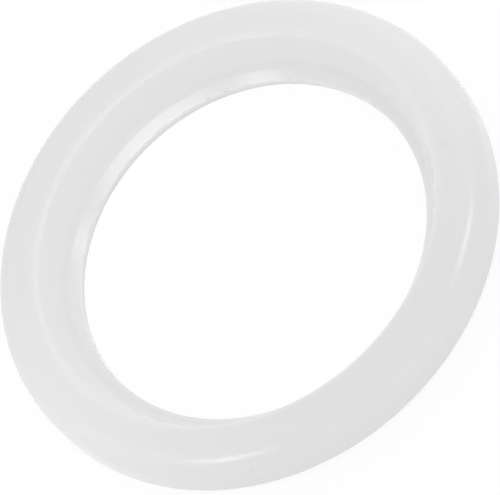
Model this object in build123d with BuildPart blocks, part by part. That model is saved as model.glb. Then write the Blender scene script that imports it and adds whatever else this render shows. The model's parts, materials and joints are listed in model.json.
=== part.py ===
"""Group head gasket of an espresso machine, in millimetres.

One moulded ring of silicone rubber. It lies on its flat back, with +Z up along
the ring's axis and the origin at the middle of the back. The sealing face on
top presses on the rim of the filter basket. Inside it the ring falls away in a
funnel to a thin lip round the bore, and outside it a rounded shoulder rolls
over into the wall that fits the recess of the group.
"""
from build123d import *
import os

# Driving dimensions
outer_diameter = 64.0
section_width = 9.3
height = 6.6

# Sealing face, a flat ring between the funnel and the shoulder
sealing_face_width = 2.8
crest_edge_radius = 0.4

# Shoulder, and the edge between the outer wall and the back
shoulder_radius = 3.0
back_edge_radius = 1.0

# Lip round the bore, and the blend from it into the steeper funnel
bore_land_height = 1.0
lip_width = 1.5
lip_rise = 1.2
lip_blend_radius = 2.5

# Radii and a height that follow from them, from the bore outwards
outer_radius = outer_diameter / 2
bore_radius = outer_radius - section_width
lip_radius = bore_radius + lip_width
crest_radius = outer_radius - shoulder_radius - sealing_face_width
lip_height = bore_land_height + lip_rise


def corner(x, y):
    """The corner of the section nearest to a radius and a height."""
    return section.vertices().sort_by_distance((x, y))[0]


with BuildPart() as group_gasket:
    with BuildSketch(Plane.XZ) as section:
        with BuildLine():
            Polyline(
                (bore_radius, 0),
                (outer_radius, 0),
                (outer_radius, height),
                (crest_radius, height),
                (lip_radius, lip_height),
                (bore_radius, bore_land_height),
                close=True,
            )
        make_face()
        fillet(corner(outer_radius, height), shoulder_radius)
        fillet(corner(outer_radius, 0), back_edge_radius)
        fillet(corner(lip_radius, lip_height), lip_blend_radius)
        fillet(corner(crest_radius, height), crest_edge_radius)
    revolve(axis=Axis.Z)

group_gasket.part.label = "group_gasket"

os.makedirs("parts", exist_ok=True)
export_step(group_gasket.part, "parts/group_gasket.step")
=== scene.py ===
"""The finish of an espresso machine's group head gasket.

One moulded ring of translucent silicone rubber. Everything is in metres, in the
part's own frame: the ring lies on its back on a pale table, with +Z up along
its axis.
"""

import json
import math

import bpy
from mathutils import Matrix, Vector


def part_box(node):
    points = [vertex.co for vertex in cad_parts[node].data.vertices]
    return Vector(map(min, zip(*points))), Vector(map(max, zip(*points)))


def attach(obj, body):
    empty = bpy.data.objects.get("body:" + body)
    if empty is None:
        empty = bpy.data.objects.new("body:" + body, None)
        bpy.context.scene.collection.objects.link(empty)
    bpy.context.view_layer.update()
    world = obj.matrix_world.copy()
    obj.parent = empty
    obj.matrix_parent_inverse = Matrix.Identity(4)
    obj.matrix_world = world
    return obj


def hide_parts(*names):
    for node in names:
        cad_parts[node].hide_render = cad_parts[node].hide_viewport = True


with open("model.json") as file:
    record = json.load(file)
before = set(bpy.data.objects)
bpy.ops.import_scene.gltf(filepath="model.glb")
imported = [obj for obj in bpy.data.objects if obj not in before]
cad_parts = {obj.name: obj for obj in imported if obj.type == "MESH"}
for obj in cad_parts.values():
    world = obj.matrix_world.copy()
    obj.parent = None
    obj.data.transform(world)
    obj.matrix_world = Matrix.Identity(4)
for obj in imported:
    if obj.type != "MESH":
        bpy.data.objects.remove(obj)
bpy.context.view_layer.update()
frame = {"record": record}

MM = 0.001

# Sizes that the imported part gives
ring_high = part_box("group_gasket")[1]
mounts = {mount["name"]: mount for mount in frame["record"]["mounts"]}
outer_radius = ring_high.x
height = ring_high.z
bore_radius = mounts["bore"]["dims"]["r_mm"] * MM
bore_land_height = mounts["bore"]["dims"]["length_mm"] * MM

# The rest of the section, drawn as the part is, but for a softer edge on the crest
sealing_face_width = 2.8 * MM
crest_edge_radius = 0.8 * MM
shoulder_radius = 3.0 * MM
back_edge_radius = 1.0 * MM
lip_width = 1.5 * MM
lip_rise = 1.2 * MM
lip_blend_radius = 2.5 * MM
crest_radius = outer_radius - shoulder_radius - sealing_face_width

# The two edges of the bore, which the part leaves sharp
trimmed_edge_radius = 0.06 * MM

# Fineness of the meshes
STEPS_ROUND_RING = 256
STEPS_ROUND_TABLE = 96
STEPS_PER_CORNER = 14

# The rubber's greys, where 1 is white, and how deep light scatters and bends in it
BULK_DARK = 0.81
BULK_LIGHT = 0.83
SPECK_LEVEL = 0.79
NICK_LEVEL = 0.75
SCATTER_DEPTH = 0.5 * MM
REFRACTION = 1.41

# The rubber's patterns, in cells to the metre, and where in a cell a speck or a nick fades in
CLOUD_CELLS = 90.0
SPECK_CELLS = 160.0
NICK_CELLS = 900.0
GRAIN_CELLS = 2600.0
SPECK_FADE = (0.07, 0.04)
NICK_FADE = (0.62, 0.70)

# How far from the trimmed edge a nick starts to fade and is gone, over the lip and down the bore
NICK_OVER_LIP = (0.05 * MM, 0.20 * MM)
NICK_DOWN_BORE = (0.10 * MM, 0.25 * MM)

# The moulded skin: a fine grain that roughens it, with nicks cut deeper than the grain
SKIN_ROUGHNESS = 0.15
GRAIN_ROUGHNESS = 0.05
GRAIN_HEIGHT = 0.01 * MM
GRAIN_STRENGTH = 0.25
NICK_DEPTH_IN_GRAINS = 2.0

# The table: how pale the ring finds it, and the glow and the shaded part that the camera sees
TABLE_RADIUS = 1.5
TABLE_LEVEL = 0.93
TABLE_GLOW = 0.86
TABLE_SHADED = 0.15

# The photograph, and where the ring is in it, in pixels
PHOTO_WIDTH = 500
PHOTO_HEIGHT = 495
RING_CENTRE_PX = (255.8, 251.8)
RING_RADIUS_PX = 265.1

# The camera: how the ring's radius compares with its distance, and its angles in degrees
RADIUS_OVER_DISTANCE = 0.03
CAMERA_DISTANCE = outer_radius / RADIUS_OVER_DISTANCE
CAMERA_ELEVATION = 53.9
CAMERA_ROLL = 42.25
CLIP_RANGE = 100
SENSOR_WIDTH_MM = 36.0

# How bright the air round the ring is, where 1 is white
AIR_LEVEL = 0.845

# Lamps that come in pairs, and the places on the ring that lamps shine on
SMALL_PANEL = {"size": (40 * MM, 40 * MM), "distance": 60 * MM}
SHOULDER_STRIP = {"size": (80 * MM, 50 * MM), "distance": 145 * MM, "spread": 34}
CENTRE = (0.0, 0.0, 0.0)
FAR_LIP = (0.0, 23.5 * MM, 1.5 * MM)
IN_HOLE = (0.0, 18.0 * MM, 1.3 * MM)
RIGHT_SHOULDER = (20.0 * MM, -23.0 * MM, 6.0 * MM)
LEFT_SHOULDER = (-19.0 * MM, -24.0 * MM, 6.0 * MM)


class Value:
    """What comes out of a shader node, so that sums on it read as sums."""

    def __init__(self, shader, socket):
        self.shader = shader
        self.socket = socket

    def maths(self, operation, *terms):
        return self.shader.node("Math", {"operation": operation}, dict(enumerate(terms)))

    def __add__(self, other):
        return self.maths("ADD", self, other)

    def __radd__(self, other):
        return self.maths("ADD", other, self)

    def __sub__(self, other):
        return self.maths("SUBTRACT", self, other)

    def __mul__(self, other):
        return self.maths("MULTIPLY", self, other)

    def __pow__(self, power):
        return self.maths("POWER", self, power)

    def or_else(self, other):
        """The larger of two, so either of two masks."""
        return self.maths("MAXIMUM", self, other)


class Shader:
    """The node tree of one material or world."""

    def __init__(self, owner):
        owner.use_nodes = True
        self.tree = owner.node_tree
        self.tree.nodes.clear()

    def node(self, kind, settings=None, inputs=None, output=0):
        """Adds a node, makes its settings, then fills its sockets with values or links."""
        made = self.tree.nodes.new("ShaderNode" + kind)
        for name, setting in (settings or {}).items():
            setattr(made, name, setting)
        for name, value in (inputs or {}).items():
            if isinstance(value, Value):
                self.tree.links.new(value.socket, made.inputs[name])
            else:
                made.inputs[name].default_value = value
        return Value(self, made.outputs[output]) if made.outputs else None

    def ease(self, value, start, end):
        """Goes smoothly from 0 to 1 as a value goes from start to end."""
        return self.node(
            "MapRange",
            {"interpolation_type": "SMOOTHSTEP"},
            {"Value": value, "From Min": start, "From Max": end},
        )

    def blend(self, factor, first, second):
        """A colour between two."""
        return self.node(
            "Mix", {"data_type": "RGBA"}, {"Factor": factor, 6: first, 7: second}, output=2
        )

    def direct_rays(self):
        """1 for rays of the camera and for those that a surface mirrors or lets through."""
        camera = self.node("LightPath", output="Is Camera Ray")
        mirrored = self.node("LightPath", output="Is Glossy Ray")
        let_through = self.node("LightPath", output="Is Transmission Ray")
        return camera.or_else(mirrored).or_else(let_through)


def grey(level):
    return (level, level, level, 1.0)


def silicone():
    """Milky silicone rubber with a satin moulded skin."""
    material = bpy.data.materials.new("silicone_rubber")
    shader = Shader(material)
    place = shader.node("TexCoord", output="Object")
    across, along, up = (
        shader.node("SeparateXYZ", inputs={"Vector": place}, output=axis) for axis in "XYZ"
    )
    radius = (across * across + along * along) ** 0.5

    # Cloudy bulk, with a few specks of dust moulded in
    clouds = shader.node(
        "TexNoise", inputs={"Vector": place, "Scale": CLOUD_CELLS, "Detail": 3.0}
    )
    dust = shader.node(
        "TexVoronoi", inputs={"Vector": place, "Scale": SPECK_CELLS}, output="Distance"
    )
    specks = shader.ease(dust, *SPECK_FADE)
    bulk = shader.blend(clouds, grey(BULK_DARK), grey(BULK_LIGHT))
    speckled = shader.blend(specks, bulk, grey(SPECK_LEVEL))

    # Short nicks where the flash was trimmed off the edge of the bore
    nicks = shader.node(
        "TexNoise", inputs={"Vector": place, "Scale": NICK_CELLS, "Detail": 0.0}
    )
    lip_near, lip_far = NICK_OVER_LIP
    bore_near, bore_far = NICK_DOWN_BORE
    over_lip = shader.ease(radius, bore_radius + lip_far, bore_radius + lip_near)
    down_bore = shader.ease(up, bore_land_height - bore_far, bore_land_height - bore_near)
    nicked = shader.ease(nicks, *NICK_FADE) * over_lip * down_bore
    colour = shader.blend(nicked, speckled, grey(NICK_LEVEL))

    grain = shader.node(
        "TexNoise", inputs={"Vector": place, "Scale": GRAIN_CELLS, "Detail": 2.0}
    )
    relief = shader.node(
        "Bump",
        inputs={
            "Strength": GRAIN_STRENGTH,
            "Distance": GRAIN_HEIGHT,
            "Height": grain - nicked * NICK_DEPTH_IN_GRAINS,
        },
        output="Normal",
    )
    surface = shader.node(
        "BsdfPrincipled",
        inputs={
            "Base Color": colour,
            "Roughness": SKIN_ROUGHNESS + grain * GRAIN_ROUGHNESS,
            "IOR": REFRACTION,
            "Subsurface Weight": 1.0,
            "Subsurface Radius": (1.0, 1.0, 1.0),
            "Subsurface Scale": SCATTER_DEPTH,
            "Normal": relief,
        },
    )
    shader.node("OutputMaterial", inputs={"Surface": surface})
    return material


def table_top():
    """White to the camera and in reflections, with the ring's shadow kept faint."""
    material = bpy.data.materials.new("table_top")
    shader = Shader(material)
    lit = shader.node("BsdfDiffuse", inputs={"Color": grey(TABLE_LEVEL)})
    shaded = shader.node("BsdfDiffuse", inputs={"Color": grey(TABLE_SHADED)})
    glow = shader.node("Emission", inputs={"Color": grey(1.0), "Strength": TABLE_GLOW})
    seen = shader.node("AddShader", inputs={0: shaded, 1: glow})
    surface = shader.node("MixShader", inputs={0: shader.direct_rays(), 1: lit, 2: seen})
    shader.node("OutputMaterial", inputs={"Surface": surface})
    return material


def studio_air():
    """Even light from all round, white where the camera sees past the table."""
    world = bpy.data.worlds.new("studio_air")
    bpy.context.scene.world = world
    shader = Shader(world)
    strength = AIR_LEVEL + shader.direct_rays() * (1.0 - AIR_LEVEL)
    air = shader.node("Background", inputs={"Color": grey(1.0), "Strength": strength})
    shader.node("OutputWorld", inputs={"Surface": air})


def put(name, data):
    """Puts a mesh, a lamp or a camera in the scene."""
    made = bpy.data.objects.new(name, data)
    bpy.context.scene.collection.objects.link(made)
    return made


def put_turned(name, data, location, turn):
    """Puts a lamp or a camera in the scene at its place, turned by a quaternion."""
    made = put(name, data)
    made.location = location
    made.rotation_mode = "QUATERNION"
    made.rotation_quaternion = turn
    return made


def put_mesh(name, points, faces):
    """Puts a mesh in the scene, given by its points and by the numbers of each face's points."""
    mesh = bpy.data.meshes.new(name)
    mesh.from_pydata(points, [], faces)
    return put(name, mesh)


def with_next(items):
    """Pairs each item of a closed loop with the next."""
    return zip(items, [*items[1:], items[0]])


def hoop(radius, up, steps):
    """Points round a level circle about the axis."""
    turns = [2 * math.pi * step / steps for step in range(steps)]
    return [(radius * math.cos(turn), radius * math.sin(turn), up) for turn in turns]


def corner_curve(corner, before, after, radius):
    """Points that round a corner, between the corners before and after it.

    They leave the two sides where an arc of that radius does, and are that arc
    where the sides are square to each other.
    """
    to_before = (before - corner).normalized()
    to_after = (after - corner).normalized()
    cut_back = radius / math.tan(to_before.angle(to_after) / 2)
    turns = [math.pi / 2 * step / STEPS_PER_CORNER for step in range(STEPS_PER_CORNER + 1)]
    return [
        corner + cut_back * ((1 - math.sin(turn)) * to_before + (1 - math.cos(turn)) * to_after)
        for turn in turns
    ]


def moulded_ring(name):
    """The ring's section, from the back edge of the bore outwards, spun about the axis."""
    corners = [
        (bore_radius, 0.0, trimmed_edge_radius),
        (outer_radius, 0.0, back_edge_radius),
        (outer_radius, height, shoulder_radius),
        (crest_radius, height, crest_edge_radius),
        (bore_radius + lip_width, bore_land_height + lip_rise, lip_blend_radius),
        (bore_radius, bore_land_height, trimmed_edge_radius),
    ]
    places = [Vector((across, up)) for across, up, _ in corners]
    section = []
    for i, (_, _, corner_radius) in enumerate(corners):
        after = places[(i + 1) % len(places)]
        section += corner_curve(places[i], places[i - 1], after, corner_radius)
    points = []
    for across, up in section:
        points += hoop(across, up, STEPS_ROUND_RING)
    faces = [
        (start + here, start + there, next_start + there, next_start + here)
        for start, next_start in with_next(range(0, len(points), STEPS_ROUND_RING))
        for here, there in with_next(range(STEPS_ROUND_RING))
    ]
    ring = put_mesh(name, points, faces)
    ring.data.shade_smooth()
    return ring


def table(radius):
    """A round table top under the ring."""
    made = put_mesh(
        "table", hoop(radius, 0.0, STEPS_ROUND_TABLE), [tuple(range(STEPS_ROUND_TABLE))]
    )
    made.data.materials.append(table_top())
    return made


def way_to(azimuth, elevation):
    """The direction of a lamp or camera, in degrees: azimuth 0 is the photograph's side."""
    a = math.radians(azimuth)
    e = math.radians(elevation)
    return Vector((math.sin(a) * math.cos(e), -math.cos(a) * math.cos(e), math.sin(e)))


def softbox(
    name, azimuth, elevation, level, size,
    distance=170 * MM, aim=CENTRE, spread=180, gloss_only=False,
):
    """A soft lamp, placed round the point that it shines on, in degrees.

    Its level is how bright it alone makes a white surface that faces it, where 1
    is white.
    """
    way = way_to(azimuth, elevation)
    data = bpy.data.lights.new(name, "AREA")
    data.shape = "RECTANGLE"
    data.size, data.size_y = size
    data.spread = math.radians(spread)
    data.energy = level * (math.pi * distance) ** 2
    lamp = put_turned(name, data, Vector(aim) + way * distance, way.to_track_quat("Z", "Y"))
    lamp.visible_camera = False
    lamp.visible_diffuse = not gloss_only


def studio_lamps():
    """Soft panels all round, a small lamp on the far lip, and three that show only as gloss.

    The strips draw the narrow arcs on the shoulder, and the lip lamp the crescent
    inside the hole.
    """
    softbox("front_panel", azimuth=0, elevation=14, level=0.060, size=(200 * MM, 60 * MM))
    softbox("back_panel", azimuth=130, elevation=36, level=0.080, size=(220 * MM, 160 * MM))
    softbox("left_panel", azimuth=-84, elevation=34, level=0.055, **SMALL_PANEL)
    softbox("right_panel", azimuth=105, elevation=34, level=0.028, **SMALL_PANEL)
    softbox(
        "hole_lamp", azimuth=0, elevation=45, level=0.050, size=(14 * MM, 14 * MM),
        distance=36 * MM, aim=FAR_LIP,
    )
    softbox(
        "right_strip", azimuth=71, elevation=43, level=0.010, **SHOULDER_STRIP,
        aim=RIGHT_SHOULDER, gloss_only=True,
    )
    softbox(
        "left_strip", azimuth=-69, elevation=44, level=0.012, **SHOULDER_STRIP,
        aim=LEFT_SHOULDER, gloss_only=True,
    )
    softbox(
        "lip_lamp", azimuth=0, elevation=66, level=0.155, size=(11 * MM, 7 * MM),
        distance=12 * MM, aim=IN_HOLE, spread=72, gloss_only=True,
    )


def photo_camera():
    """The photograph's view: from above, with a long lens, and rolled about its own axis."""
    back = way_to(0, CAMERA_ELEVATION)
    upright = back.to_track_quat("Z", "Y").to_matrix()
    rolled = upright @ Matrix.Rotation(-math.radians(CAMERA_ROLL), 3, "Z")
    metres_per_px = outer_radius / RING_RADIUS_PX
    right = (PHOTO_WIDTH / 2 - RING_CENTRE_PX[0]) * metres_per_px
    up = (RING_CENTRE_PX[1] - PHOTO_HEIGHT / 2) * metres_per_px
    aim = rolled @ Vector((right, up, 0.0))
    data = bpy.data.cameras.new("photo_camera")
    data.sensor_width = SENSOR_WIDTH_MM
    data.lens = SENSOR_WIDTH_MM * CAMERA_DISTANCE / (PHOTO_WIDTH * metres_per_px)
    data.clip_start = CAMERA_DISTANCE / CLIP_RANGE
    data.clip_end = CAMERA_DISTANCE * CLIP_RANGE
    bpy.context.scene.camera = put_turned(
        "photo_camera", data, aim + back * CAMERA_DISTANCE, rolled.to_quaternion()
    )


bpy.context.scene.view_settings.view_transform = "Standard"
photo_camera()
studio_air()
table(TABLE_RADIUS)
studio_lamps()

ring = moulded_ring("silicone_ring")
ring.data.materials.append(silicone())
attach(ring, "root")
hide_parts("group_gasket")
